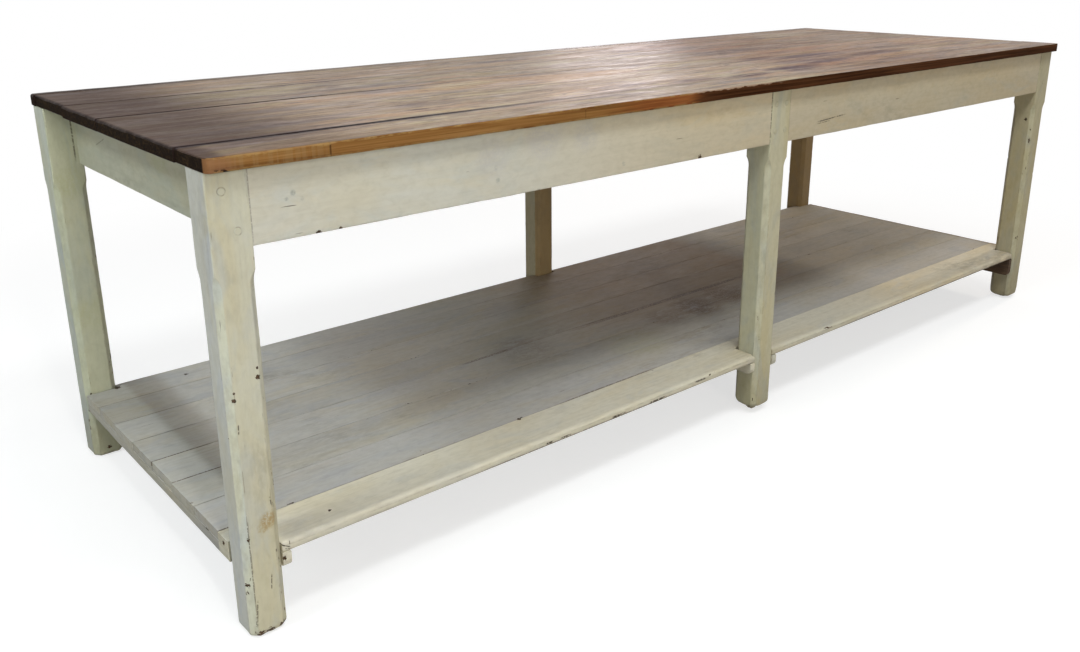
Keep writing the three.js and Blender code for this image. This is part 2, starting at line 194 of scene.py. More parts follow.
def slab(axes, lines_u, lines_v, rows, height, arris_at, shift, filled=always, rim_wear=0.25):
    """A board drawn as a grid in u and v, with a lower and an upper face and a rim of several rows.

    axes names the table's axes along u, v and the thickness. height(u, v) gives the low and the high
    level, arris_at(u, v, upper) the radius of the rounded edge, shift(u, v) the place on the worn
    outline, and filled(u, v) whether the board has the cell round a place. Returns the mesh and the
    wear of each vertex.
    """
    bm = bmesh.new()
    wear = []
    columns = {}
    made = {}
    cells_u = len(lines_u) - 1
    cells_v = len(lines_v) - 1
    last_row = len(rows) - 1

    def solid(i, j):
        if not (0 <= i < cells_u and 0 <= j < cells_v):
            return False
        return filled((lines_u[i] + lines_u[i + 1]) / 2, (lines_v[j] + lines_v[j + 1]) / 2)

    segments = rim_segments(lines_u, lines_v, solid)

    def column(i, j):
        """The worn place of a grid point, its two levels and its distance from the rim."""
        if (i, j) not in columns:
            u, v = lines_u[i], lines_v[j]
            distance = rim_distance(u, v, segments)
            low, high = height(u, v)
            base = low + quarter_drop(distance, arris_at(u, v, False))
            crown = high - quarter_drop(distance, arris_at(u, v, True))
            columns[i, j] = (*shift(u, v), base, crown, distance)
        return columns[i, j]

    def vertex(i, j, row):
        if (i, j, row) not in made:
            u, v, base, crown, distance = column(i, j)
            level = base + (crown - base) * rows[row]
            made[i, j, row] = bm.verts.new(placed(axes, (u, v, level)))
            on_face = row in (0, last_row)
            wear.append(max(0.0, 1 - distance / wear_reach) if on_face else rim_wear)
        return made[i, j, row]

    for i in range(cells_u):
        for j in range(cells_v):
            if not solid(i, j):
                continue
            corners = [(i, j), (i + 1, j), (i + 1, j + 1), (i, j + 1)]
            neighbours = [(i, j - 1), (i + 1, j), (i, j + 1), (i - 1, j)]
            bm.faces.new([vertex(*corner, last_row) for corner in corners])
            bm.faces.new([vertex(*corner, 0) for corner in reversed(corners)])
            for first, second, neighbour in zip(corners, corners[1:] + corners[:1], neighbours):
                if solid(*neighbour):
                    continue
                for row in range(last_row):
                    places = ((first, row), (second, row), (second, row + 1), (first, row + 1))
                    face = bm.faces.new([vertex(*place, level) for place, level in places])
                    face.material_index = 1 if first[0] == second[0] else 0
    return bm, wear


# Node graphs

class Graph:
    """Adds shader nodes to a material; each method gives back the socket that holds its result."""

    def __init__(self, name):
        self.material = bpy.data.materials.new(name)
        self.material.use_nodes = True
        self.tree = self.material.node_tree
        self.shader = self.tree.nodes["Principled BSDF"]

    def link(self, socket, value):
        if isinstance(value, bpy.types.NodeSocket):
            self.tree.links.new(value, socket)
        else:
            socket.default_value = value

    def add(self, kind, inputs, output=0, **settings):
        node = self.tree.nodes.new(kind)
        for key, value in settings.items():
            setattr(node, key, value)
        for key, value in inputs.items():
            self.link(node.inputs[key], value)
        return node.outputs[output]

    def finish(self, colour, roughness, specular, normal):
        """Links the results to the shader and gives the material."""
        inputs = self.shader.inputs
        self.link(inputs["Base Color"], colour)
        self.link(inputs["Roughness"], roughness)
        self.link(inputs["Specular IOR Level"], specular)
        self.link(inputs["Normal"], normal)
        return self.material

    @cached_property
    def grain(self):
        return self.add("ShaderNodeAttribute", {}, "Vector", attribute_name="grain")

    @cached_property
    def wear(self):
        return self.add("ShaderNodeAttribute", {}, "Fac", attribute_name="wear")

    @cached_property
    def position(self):
        return self.add("ShaderNodeTexCoord", {}, "Object")

    @cached_property
    def x(self):
        return self.axis(self.position, "X")

    @cached_property
    def y(self):
        return self.axis(self.position, "Y")

    @cached_property
    def z(self):
        return self.axis(self.position, "Z")

    def axis(self, vector, name):
        return self.add("ShaderNodeSeparateXYZ", {"Vector": vector}, name)

    def facing(self, name):
        """How far a face looks along an axis, from -1 to 1."""
        return self.axis(self.add("ShaderNodeNewGeometry", {}, "True Normal"), name)

    def vector_math(self, operation, first, second, output=0):
        return self.add("ShaderNodeVectorMath", {0: first, 1: second}, output, operation=operation)

    def noise(self, vector, scales, detail=4.0, roughness=0.5, distortion=0.0):
        """Noise with a scale along the grain, one across it and perhaps another for the depth."""
        along, across, *depth = scales
        stretched = self.vector_math("MULTIPLY", vector, (along, across, *(depth or [across])))
        return self.add("ShaderNodeTexNoise", {
            "Vector": stretched,
            "Scale": 1.0,
            "Detail": detail,
            "Roughness": roughness,
            "Distortion": distortion,
        }, "Fac")

    def math(self, operation, first, second):
        return self.add("ShaderNodeMath", {0: first, 1: second}, operation=operation)

    def times(self, first, *others):
        for other in others:
            first = self.math("MULTIPLY", first, other)
        return first

    def plus(self, first, second):
        return self.math("ADD", first, second)

    def larger(self, first, second):
        return self.math("MAXIMUM", first, second)

    def size(self, value):
        return self.math("ABSOLUTE", value, 0.0)

    def off(self, value, middle):
        """How far a value is from the middle, either way."""
        return self.size(self.math("SUBTRACT", value, middle))

    def band(self, value, start, end, low=0.0, high=1.0):
        """Maps a value from start..end to low..high, with an eased step."""
        inputs = {"Value": value, "From Min": start, "From Max": end, "To Min": low, "To Max": high}
        return self.add("ShaderNodeMapRange", inputs, interpolation_type="SMOOTHSTEP")

    def unless(self, share, rest):
        """1 where the share is 0, down to the rest where it is 1."""
        return self.band(share, 0.0, 1.0, 1.0, rest)

    def mix(self, share, first, second, blend="MIX"):
        node = self.tree.nodes.new("ShaderNodeMix")
        node.data_type = "RGBA"
        node.blend_type = blend
        self.link(node.inputs[0], share)
        self.link(node.inputs[6], first)
        self.link(node.inputs[7], second)
        return node.outputs[2]

    def tint(self, share, colour, factor):
        """Multiplies a colour by a factor, as far as the share says."""
        return self.mix(share, colour, factor, "MULTIPLY")

    def tints(self, colour, rows):
        """Tints a colour by each (share, red, green, blue) in turn."""
        for share, red, green, blue in rows:
            colour = self.tint(share, colour, rgb(red, green, blue))
        return colour

    def tone(self, colour, low, high):
        """Makes each piece as a whole a little darker or lighter."""
        tone = self.add("ShaderNodeAttribute", {}, "Fac", attribute_name="tone")
        shade = self.band(tone, 0.0, 1.0, low, high)
        return self.tint(1.0, colour, self.add("ShaderNodeCombineColor", {0: shade, 1: shade, 2: shade}))

    def ramp(self, value, stops):
        """A colour ramp with stops (place, red, green, blue)."""
        node = self.tree.nodes.new("ShaderNodeValToRGB")
        self.link(node.inputs[0], value)
        elements = node.color_ramp.elements
        while len(elements) < len(stops):
            elements.new(0.5)
        for element, (place, *colour) in zip(elements, stops):
            element.position = place
            element.color = rgb(*colour)
        return node.outputs[0]

    def bump(self, height, distance, strength=1.0, normal=None):
        inputs = {"Height": height, "Distance": distance, "Strength": strength}
        if normal is not None:
            inputs["Normal"] = normal
        return self.add("ShaderNodeBump", inputs)

    def distance(self, centre):
        return self.vector_math("DISTANCE", self.position, centre, "Value")

    def spot(self, centre, radius, ragged):
        """1 inside a ragged spot round a point of the table, 0 outside."""
        limit = self.times(self.math("SUBTRACT", self.times(ragged, 3.2), 0.6), radius)
        return self.math("LESS_THAN", self.distance(centre), limit)

    def ring(self, centre, radius, width=0.0017):
        """1 on a thin soft ring round a point, 0 away from it."""
        return self.band(self.off(self.distance(centre), radius), width, width * 0.3)

    def stroke(self, centre, half_length, half_width, lean, axes, face_depth=0.01):
        """1 on a soft thin line through a point: it runs along one axis and leans towards another."""
        along, across = axes
        third = "XYZ".replace(along, "").replace(across, "")
        away = self.vector_math("SUBTRACT", self.position, centre)
        run = self.axis(away, along)
        off_line = self.off(self.axis(away, across), self.times(run, lean))
        on_face = self.math("LESS_THAN", self.size(self.axis(away, third)), face_depth)
        line = self.times(self.band(off_line, half_width, half_width * 0.4), on_face)
        return self.times(self.band(self.size(run), half_length, half_length * 0.6), line)


def rgb(red, green, blue):
    return (red, green, blue, 1.0)


# Painted wood

def painted_wood(name, paints, tint_by_place, marks, chip_share, dirt, strokes, sheen, film_start):
    """Old brushed paint over brown wood: soft patches, grime, chips at the edges, and the marks.

    paints holds the cream, the yellowed and the grey paint. marks holds spots (x, y, z, radius),
    stains (x, y, z, radius, share, colour), rings (x, y, z, radius, share), scratches (x, y, z, half
    length, half width, lean, share, the axes along and across, colour), and the share of dark broken
    lines on the arrises.
    """
    graph = Graph(name)
    mottle = graph.noise(graph.grain, (45.0, 80.0), 4.0, 0.6, 0.5)
    brush = graph.noise(graph.grain, (5.0, 170.0), 5.0, 0.6, 0.2)
    fine = graph.noise(graph.grain, (30.0, 70.0), 6.0, 0.65)
    broad = graph.noise(graph.grain, (2.2, 5.0), 5.0, 0.62, 0.4)
    ragged = graph.noise(graph.position, (260.0, 260.0), 3.0, 0.6)

    # tint_by_place paints light and shade by place as well as the paint's own colour.
    colour = tint_by_place(graph, brushed_paint(graph, paints, mottle, brush, strokes))
    film = graph.times(graph.band(graph.wear, film_start, 1.0), graph.band(fine, 0.4, 0.66))
    smudge = graph.times(graph.band(broad, 0.55, 0.75), graph.band(fine, 0.38, 0.6))
    grime = graph.times(graph.larger(film, smudge), dirt)
    for *centre, radius, share in marks.get("rings", ()):
        ring = graph.times(graph.ring(centre, radius), graph.band(mottle, 0.36, 0.56, 0.1, 1.0), share)
        grime = graph.larger(grime, ring)
    colour = graph.mix(grime, colour, rgb(0.17, 0.14, 0.095))
    for *centre, radius, share, stain in marks["stains"]:
        soft = graph.band(graph.distance(centre), radius, radius * 0.35, 0.0, share)
        patchy = graph.times(graph.band(fine, 0.3, 0.52), graph.band(ragged, 0.35, 0.55, 0.35, 1.0))
        colour = graph.mix(graph.times(soft, patchy), colour, stain)
    for *centre, half_length, half_width, lean, share, axes, line_colour in marks["scratches"]:
        line = graph.stroke(centre, half_length, half_width, lean, axes)
        line = graph.times(line, graph.band(ragged, 0.36, 0.5, 0.0, share))
        colour = graph.mix(line, colour, line_colour)
    if "arris_share" in marks:
        colour = worn_arrises(graph, colour, marks["arris_share"])

    holes = paint_holes(graph, marks["spots"], chip_share, broad, ragged)
    bare = graph.ramp(fine, (
        (0.3, 0.025, 0.016, 0.01), (0.55, 0.075, 0.046, 0.026), (0.8, 0.16, 0.105, 0.062)))
    roughness = graph.plus(graph.band(fine, 0.3, 0.7, 0.52, 0.66), graph.times(holes, 0.25))
    wood = graph.noise(graph.grain, (7.0, 260.0), 4.0, 0.55, 0.3)
    relief = graph.bump(graph.times(holes, -1.0), 0.0006)
    relief = graph.bump(graph.plus(brush, graph.times(wood, 0.6)), 0.0003, 0.7, relief)
    relief = graph.bump(broad, 0.0012, 0.4, relief)
    return graph.finish(graph.mix(holes, colour, bare), roughness, sheen, relief)


def brushed_paint(graph, paints, mottle, brush, strokes):
    """Cream paint with yellowed and grey patches, small mottles and brush strokes."""
    cream, yellowed, grey = paints
    patches = graph.noise(graph.grain, (2.2, 7.0), 4.0, 0.6, 0.8)
    colour = graph.mix(graph.band(patches, 0.4, 0.68), cream, yellowed)
    clouds = graph.noise(graph.grain, (6.0, 16.0), 4.0, 0.6, 1.0)
    colour = graph.mix(graph.band(clouds, 0.46, 0.7, 0.0, 0.8), colour, grey)
    colour = graph.tint(0.45, colour, graph.ramp(mottle, (
        (0.3, 0.84, 0.83, 0.8), (0.5, 1.0, 1.0, 1.0), (0.7, 1.1, 1.1, 1.12))))
    colour = graph.tint(strokes, colour, graph.ramp(brush, (
        (0.3, 0.74, 0.72, 0.68), (0.5, 0.98, 0.98, 0.98), (0.7, 1.08, 1.08, 1.07))))
    return graph.tone(colour, 0.95, 1.03)


def worn_arrises(graph, colour, share):
    """Dark broken lines along the arrises, more of them low down."""
    on_arris = graph.times(graph.band(graph.wear, 0.5, 0.66), graph.band(graph.wear, 0.8, 0.72))
    broken = graph.noise(graph.grain, (26.0, 60.0), 3.0, 0.6)
    broken = graph.band(graph.plus(broken, graph.band(graph.z, 0.7, 0.1, -0.06, 0.02)), 0.53, 0.6)
    return graph.mix(graph.times(on_arris, broken, share), colour, rgb(0.09, 0.065, 0.04))


def paint_holes(graph, spots, chip_share, broad, ragged):
    """1 where the paint is gone: in chips, mostly at worn edges and low down, in ticks and in the spots."""
    scratch = graph.noise(graph.grain, (9.0, 140.0), 3.0, 0.5)
    ticks = graph.times(graph.band(scratch, 0.735, 0.76), graph.band(broad, 0.42, 0.52))
    chips = graph.noise(graph.grain, (34.0, 90.0), 5.0, 0.6, 0.3)
    for more in (
        graph.times(graph.wear, chip_share),
        graph.band(graph.noise(graph.grain, (4.0, 7.0), 2.0), 0.42, 0.6, -0.1, 0.02),
        graph.band(graph.z, 0.45, 0.1, 0.0, 0.03),
        graph.band(graph.z, 0.035, 0.0, 0.0, 0.09),
    ):
        chips = graph.plus(chips, more)
    holes = graph.larger(graph.band(chips, 0.795, 0.815), graph.times(ticks, 0.7))
    for *centre, radius in spots:
        holes = graph.larger(holes, graph.spot(centre, radius, ragged))
    return holes


def leg_tint(graph, colour):
    """Painted shade: greenish on the back left leg, brown on the other back legs, warmer to the right.

    The left faces are greyer than the fronts, with painted light, and the chamfers a painted highlight.
    """
    x = graph.x
    facing_x = graph.facing("X")
    at_back = graph.band(graph.y, 0.3, 0.4)
    left_face = graph.times(graph.band(facing_x, -0.85, -0.92), graph.band(x, 1.0, 0.6))
    # Painted cool light on the left legs' left faces, with painted shade lower down.
    cool_lit_left_face = graph.times(left_face, graph.band(x, -0.3, -0.8))
    # A painted highlight on the chamfers between the left faces and the fronts.
    chamfer = graph.times(graph.band(facing_x, -0.4, -0.5), graph.band(facing_x, -0.88, -0.8))
    chamfer = graph.times(chamfer, graph.band(graph.facing("Y"), -0.4, -0.5), graph.unless(at_back, 0.3))
    # Darker near the floor on the legs further right and at the back.
    low = graph.times(graph.band(graph.z, 0.2, 0.02), graph.larger(graph.band(x, -0.8, 0.6), at_back))
    # Painted shade at the back and to the right, painted light on the left faces and chamfers.
    return graph.tints(colour, (
        (graph.times(at_back, graph.band(x, -1.0, -1.2)), 0.88, 0.92, 0.84),
        (graph.times(at_back, graph.band(x, -0.6, -0.3), graph.unless(left_face, 0.5)), 0.64, 0.49, 0.35),
        (graph.times(graph.band(x, -1.2, 0.2), graph.unless(left_face, 0.6)), 0.87, 0.83, 0.73),
        (graph.band(x, 0.5, 1.2), 0.97, 0.93, 0.86),
        (left_face, 1.02, 1.05, 1.03),
        (cool_lit_left_face, 0.99, 0.975, 1.13),
        (graph.times(cool_lit_left_face, graph.band(graph.z, 0.6, 0.3)), 0.9, 0.9, 0.9),
        (chamfer, 1.06, 1.11, 1.17),
        (low, 0.75, 0.73, 0.7),
    ))


def apron_tint(graph, colour):
    """Painted shade, darker and yellower to the right; painted light along the top; greener end rails."""
    # Painted light along the top, under the overhang.
    painted_light_top = graph.times(graph.band(graph.z, 0.75, 0.8), graph.band(graph.x, -0.9, 0.0))
    # Darker and greener on the end rails and on faces turned to the left.
    end_rail = graph.larger(
        graph.band(graph.size(graph.x), 1.33, 1.35), graph.band(graph.facing("X"), -0.8, -0.9))
    # Painted shade: darker and yellower to the right.
    return graph.tints(colour, (
        (graph.band(graph.x, -1.1, -0.2), 0.96, 0.845, 0.69),
        (painted_light_top, 1.12, 1.1, 1.06),
        (end_rail, 0.8, 0.79, 0.66),
    ))


def shelf_tint(graph, colour):
    """Cream front board; painted shade, browned by dust, at middle and back; bluish painted light at left.
    """
    x, y = graph.x, graph.y
    # Painted shadow in the middle towards the back, up to about x 0.6, browned by dust as well.
    dust_and_shadow = graph.times(
        graph.band(y, -0.3, 0.03), graph.band(x, -0.5, 0.1), graph.band(x, 0.68, 0.54, 0.1, 1.0))
    # Bluish painted light on the left part, from the middle to the back.
    painted_light_left = graph.times(graph.band(x, -1.3, -1.2), graph.band(x, -0.4, -0.8), graph.band(y, -0.32, -0.1))
    left_end = graph.band(x, -1.3, -1.325)
    # A painted lit strip on the top of the left end.
    lit_end_strip = graph.times(graph.band(graph.facing("Z"), 0.5, 0.8), left_end, graph.band(y, 0.3, 0.0))
    # The painted shadow of the front left leg, behind it.
    leg_shadow_band = graph.times(
        graph.band(x, -1.315, -1.295), graph.band(x, -1.21, -1.25), graph.band(y, -0.3, -0.1))
    # Painted light to the right of the shadow's edge near x 0.6.
    return graph.tints(colour, (
        (dust_and_shadow, 0.72, 0.57, 0.44),
        (graph.band(x, 0.3, 0.7), 1.08, 1.015, 0.95),
        (painted_light_left, 1.48, 1.48, 1.53),
        (lit_end_strip, 1.24, 1.25, 1.27),
        (graph.band(x, 1.376, 1.386), 0.58, 0.5, 0.44),
        (graph.times(graph.band(graph.facing("X"), -0.8, -0.9), left_end), 0.9, 0.87, 0.81),
        (leg_shadow_band, 0.84, 0.8, 0.77),
        (graph.times(graph.band(y, -0.3515, -0.3495), graph.band(y, -0.22, -0.27)), 0.9, 0.9, 0.94),
        (graph.band(y, -0.3495, -0.3515), 1.44, 1.4, 1.28),
    ))


# Wood of the top, bare wood and iron

def waxed_top(name, front_edge):
    """The top's brown wood: long streaks, pores, dark stains, and painted shade at seams and back edge.

    The front edge is honey coloured on the left, reddish in the middle and walnut brown on the right.
    """
    graph = Graph(name)
    grain, x = graph.grain, graph.x
    bend = graph.noise(grain, (1.1, 3.0), 2.0)
    swirl = graph.add("ShaderNodeCombineXYZ", {"Y": graph.times(bend, 0.09)})
    waved = graph.vector_math("ADD", grain, swirl)
    streaks = graph.noise(waved, (3.0, 52.0), 8.0, 0.72, 0.4)
    pores = graph.noise(waved, (22.0, 420.0), 3.0, 0.6)
    stains = graph.noise(grain, (3.2, 15.0), 5.0, 0.6, 0.8)
    fine = graph.noise(grain, (40.0, 90.0), 5.0, 0.65)
    gloss = graph.noise(grain, (4.0, 22.0), 5.0, 0.6)
    stained = dark_stains(graph, streaks)

    colour = streaked_wood(graph, waved, streaks, pores)
    colour = graph.mix(graph.band(stains, 0.57, 0.72, 0.0, 0.7), colour, rgb(0.085, 0.05, 0.046))
    browner = graph.times(graph.band(x, 0.1, 0.4), graph.band(x, 1.0, 0.7, 0.4, 1.0))
    colour = graph.tint(browner, colour, rgb(0.72, 0.57, 0.49))
    colour = graph.mix(graph.times(stained, 0.92), colour, rgb(0.07, 0.038, 0.048))
    # Darker towards the left end of the top, less so at the paler front left corner.
    paler = graph.times(graph.band(graph.y, -0.36, -0.385), graph.band(x, -1.385, -1.34))
    dark_left_end = graph.times(graph.band(x, -0.98, -1.3, 0.0, 0.9), graph.unless(paler, 0.45))
    colour = graph.mix(dark_left_end, colour, rgb(0.052, 0.03, 0.024))
    colour = open_seams(graph, fine, colour)
    # Painted shade along the back edge of the top.
    colour = graph.tint(graph.band(graph.y, 0.46, 0.468), colour, rgb(0.33, 0.32, 0.32))
    gleam = graph.times(graph.band(x, -1.28, -0.85, 0.02, 0.09), graph.unless(stained, 0.3))
    if front_edge:
        facing_front = graph.band(graph.facing("Y"), -0.45, -0.8)
        colour = graph.mix(facing_front, colour, edge_wood(graph, fine))
        gleam = graph.times(gleam, graph.unless(facing_front, 0.05))
    else:
        # Painted shade on the plank edges and in the gaps between them, strongest at the left end.
        rim = graph.times(
            graph.band(graph.wear, 0.45, 1.0), graph.band(fine, 0.3, 0.55, 0.55, 1.0),
            graph.band(x, -0.3, -1.0, 0.15, 1.0))
        colour = graph.mix(rim, colour, rgb(0.022, 0.014, 0.012))

    roughness = graph.plus(graph.band(gloss, 0.3, 0.7, 0.34, 0.49), graph.band(fine, 0.3, 0.7, 0.0, 0.1))
    relief = graph.bump(graph.plus(streaks, graph.times(pores, -0.35)), 0.0004, 0.6)
    return graph.finish(colour, roughness, gleam, graph.bump(stains, 0.002, 0.35, relief))


def streaked_wood(graph, waved, streaks, pores):
    """Brown wood with streaks, patches of other browns, fibres, pores and flecks."""
    colour = graph.ramp(streaks, (
        (0.28, 0.13, 0.09, 0.064), (0.42, 0.215, 0.15, 0.103), (0.52, 0.3, 0.212, 0.144),
        (0.62, 0.38, 0.278, 0.186), (0.75, 0.46, 0.35, 0.24)))
    for place, scales, low, high, share, hue in (
        (0.0, (1.3, 9.0), 0.5, 0.62, 0.55, rgb(0.44, 0.265, 0.15)),
        (3.7, (1.8, 12.0), 0.53, 0.63, 0.6, rgb(0.175, 0.14, 0.14)),
        (8.3, (2.4, 14.0), 0.5, 0.62, 0.5, rgb(0.39, 0.32, 0.175)),
        (5.9, (5.0, 22.0), 0.52, 0.64, 0.45, rgb(0.42, 0.335, 0.3)),
        (2.1, (6.0, 30.0), 0.56, 0.66, 0.6, rgb(0.12, 0.085, 0.08)),
    ):
        moved = graph.vector_math("ADD", waved, (place, place, 0.0))
        patches = graph.noise(moved, scales, 5.0, 0.6, 0.9)
        colour = graph.mix(graph.band(patches, low, high, 0.0, share), colour, hue)
    fibres = graph.noise(waved, (13.0, 210.0), 5.0, 0.66)
    colour = graph.tint(0.8, colour, graph.ramp(fibres, (
        (0.34, 0.62, 0.58, 0.56), (0.52, 1.0, 1.0, 1.0), (0.68, 1.24, 1.23, 1.22))))
    colour = graph.tone(colour, 0.85, 1.1)
    flecks = graph.noise(waved, (24.0, 110.0), 5.0, 0.7, 0.6)
    colour = graph.mix(graph.band(pores, 0.56, 0.7, 0.0, 0.55), colour, rgb(0.045, 0.028, 0.022))
    colour = graph.mix(graph.band(flecks, 0.56, 0.66, 0.0, 0.6), colour, rgb(0.085, 0.048, 0.036))
    return graph.mix(graph.band(flecks, 0.42, 0.34, 0.0, 0.3), colour, rgb(0.52, 0.4, 0.27))


def dark_stains(graph, streaks):
    """1 in the long dark stains on the right half of the top and along its front, and in a few knots."""
    stained = 0.0
    length_share = 4.0
    flat = graph.vector_math("MULTIPLY", graph.position, (1.0, length_share, 0.0))
    for x, y, reach, share in (
        (0.29, -0.125, 0.18, 0.85), (0.02, -0.355, 0.14, 0.9), (0.22, -0.33, 0.17, 1.0),
        (0.2, -0.375, 0.12, 1.0), (0.43, -0.29, 0.17, 1.0), (0.5, -0.17, 0.24, 0.9),
        (0.36, -0.24, 0.17, 0.8), (-0.14, -0.34, 0.11, 0.7), (-0.33, -0.3, 0.07, 0.7),
        (-0.47, -0.43, 0.07, 0.7), (0.75, -0.25, 0.2, 0.6), (0.95, -0.15, 0.28, 0.5),
        (-0.97, -0.362, 0.08, 0.8), (-0.8906, -0.284, 0.04, 1.0), (-1.165, -0.262, 0.035, 0.9),
        (-1.21, -0.255, 0.02, 0.8),
    ):
        away = graph.vector_math("DISTANCE", flat, (x, y * length_share, 0.0), "Value")
        stained = graph.larger(stained, graph.band(away, reach, reach * 0.2, 0.0, share))
    return graph.times(stained, graph.band(streaks, 0.68, 0.46, 0.1, 1.0))


def open_seams(graph, fine, colour):
    """Painted shade of the open gaps between the planks, widest at the left end and closing to the right.
    """
    y = graph.plus(graph.y, graph.times(graph.math("SUBTRACT", fine, 0.5), 0.004))
    for node, half_width, closing, closed in (
        ("top_plank_front", 0.015, -1.05, -0.3),
        ("top_plank_wide", 0.0075, -1.25, -0.6),
        ("top_plank_back", 0.0052, -1.25, -0.7),
    ):
        line = graph.band(graph.off(y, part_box(node)[1].y), half_width, half_width * 0.4)
        line = graph.times(line, graph.band(graph.x, closed, closing))
        # Near black painted shade over the open gaps.
        colour = graph.mix(line, colour, rgb(0.022, 0.013, 0.014))
    return colour


def edge_wood(graph, fine):
    """The front face of the front plank: fresh honey wood, reddish wood and walnut, one after another."""
    x, z = graph.x, graph.z
    lines = graph.noise(graph.grain, (3.0, 60.0, 170.0), 5.0, 0.6, 0.4)
    saw = graph.noise(graph.grain, (150.0, 2.0, 9.0), 3.0, 0.5)
    colour = graph.ramp(lines, (
        (0.3, 0.1, 0.04, 0.012), (0.5, 0.232, 0.11, 0.033), (0.7, 0.335, 0.185, 0.066)))
    sawn = graph.times(graph.band(saw, 0.4, 0.6), graph.band(x, -1.17, -1.22, 0.0, 0.3))
    colour = graph.mix(sawn, colour, rgb(0.3, 0.2, 0.095))
    colour = graph.mix(graph.band(x, -1.33, -1.37, 0.0, 0.6), colour, rgb(0.24, 0.115, 0.06))
    for mark_x, width in ((-1.188, 0.0022), (-0.638, 0.0009)):
        mark = graph.band(graph.off(x, mark_x), width, width * 0.4, 0.0, 0.75)
        colour = graph.mix(mark, colour, rgb(0.05, 0.022, 0.01))
    reddish = graph.ramp(lines, ((0.35, 0.13, 0.035, 0.01), (0.65, 0.3, 0.11, 0.035)))
    walnut = graph.ramp(lines, ((0.35, 0.03, 0.011, 0.004), (0.65, 0.1, 0.04, 0.017)))
    ragged_x = graph.plus(x, graph.times(graph.math("SUBTRACT", lines, 0.5), 0.24))
    colour = graph.mix(graph.band(ragged_x, -0.62, -0.45), colour, reddish)
    colour = graph.mix(graph.band(ragged_x, -0.33, -0.29), colour, walnut)
    worn_arris = graph.times(graph.band(graph.wear, 0.55, 0.95), graph.band(fine, 0.45, 0.55, 0.0, 0.7))
    arris_colour = graph.mix(graph.band(x, -0.33, -0.3), rgb(0.32, 0.2, 0.075), rgb(0.045, 0.02, 0.01))
    colour = graph.mix(worn_arris, colour, arris_colour)
    eaten = graph.noise(graph.grain, (38.0, 0.0), 3.0, 0.6)
    eaten = graph.math("GREATER_THAN", graph.plus(z, graph.times(eaten, 0.016)), 0.855)
    eaten = graph.times(eaten, graph.band(x, -0.36, -0.3), graph.band(x, 0.0, -0.1))
    colour = graph.mix(eaten, colour, rgb(0.33, 0.22, 0.15))
    chipped = graph.times(
        graph.band(z, 0.832, 0.828), graph.band(fine, 0.56, 0.6), graph.band(x, -1.34, -1.36))
    return graph.mix(chipped, colour, rgb(0.015, 0.01, 0.008))


def end_grain(name):
    """Very dark, open end grain of the top planks, with a paler front left corner."""
    graph = Graph(name)
    rings = graph.noise(graph.grain, (20.0, 70.0, 130.0), 6.0, 0.62, 1.4)
    pore_places = graph.vector_math("MULTIPLY", graph.grain, (300.0, 900.0, 900.0))
    pores = graph.add("ShaderNodeTexVoronoi", {"Vector": pore_places, "Scale": 1.0}, "Distance")
    colour = graph.ramp(rings, (
        (0.3, 0.006, 0.004, 0.003), (0.5, 0.019, 0.012, 0.008), (0.68, 0.05, 0.032, 0.017),
        (0.8, 0.09, 0.06, 0.03)))
    colour = graph.mix(graph.band(pores, 0.3, 0.1, 0.0, 0.5), colour, rgb(0.006, 0.005, 0.004))
    corner = graph.times(graph.band(graph.y, -0.468, -0.4725), graph.band(graph.x, -1.3, -1.38))
    colour = graph.mix(corner, colour, rgb(0.24, 0.115, 0.05))
    relief = graph.bump(graph.plus(rings, pores), 0.0012, 0.8)
    return graph.finish(colour, graph.band(rings, 0.3, 0.7, 0.65, 0.9), 0.01, relief)


def raw_wood(name):
    """Dark unpainted wood, rough and dusty."""
    graph = Graph(name)
    streaks = graph.noise(graph.grain, (3.0, 60.0), 6.0, 0.62, 0.5)
    pores = graph.noise(graph.grain, (20.0, 500.0), 3.0, 0.6)
    colour = graph.ramp(streaks, (
        (0.3, 0.03, 0.018, 0.011), (0.55, 0.085, 0.052, 0.031), (0.8, 0.17, 0.115, 0.075)))
    colour = graph.mix(graph.band(pores, 0.55, 0.7, 0.0, 0.6), colour, rgb(0.018, 0.011, 0.008))
    relief = graph.bump(graph.plus(streaks, pores), 0.0008, 0.7)
    return graph.finish(colour, graph.band(streaks, 0.3, 0.7, 0.68, 0.88), 0.25, relief)


def rusty_iron(name):
    """Dull dark screw heads with a little rust."""
    graph = Graph(name)
    rust = graph.noise(graph.position, (320.0, 320.0), 5.0, 0.65)
    colour = graph.ramp(rust, ((0.4, 0.045, 0.042, 0.04), (0.62, 0.14, 0.055, 0.022)))
    graph.link(graph.shader.inputs["Metallic"], graph.band(rust, 0.62, 0.42))
    return graph.finish(colour, graph.band(rust, 0.3, 0.7, 0.42, 0.85), 0.5, graph.bump(rust, 0.0003, 0.6))


# Marks of age, at the places where the photograph shows them

dark_line = rgb(0.06, 0.045, 0.03)
brown_line = rgb(0.12, 0.08, 0.055)
brown_stain = rgb(0.36, 0.26, 0.12)
green_stain = rgb(0.42, 0.43, 0.24)
grey_stain = rgb(0.2, 0.22, 0.2)
lilac_stain = rgb(0.42, 0.41, 0.43)
rust_stain = rgb(0.16, 0.1, 0.058)


def peg_rings():
    """The outlines of the pegs on the outer faces of the legs, clearest on the front left leg."""
    rings = []
    for name in nodes:
        if name.startswith("peg_"):
            low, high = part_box(name)
            face = leg_low.y if low.y < 0 else -leg_low.y
            share = 0.5 if name.startswith("peg_front_left") else 0.25
            radius = (high.x - low.x) / 2 + 0.0004
            rings.append(((low.x + high.x) / 2, face, (low.z + high.z) / 2, radius, share))
    return rings


def scratches(axes, colour, rows):
    """Scratches that run along the same axis and have one colour."""
    return [(*row, axes, colour) for row in rows]


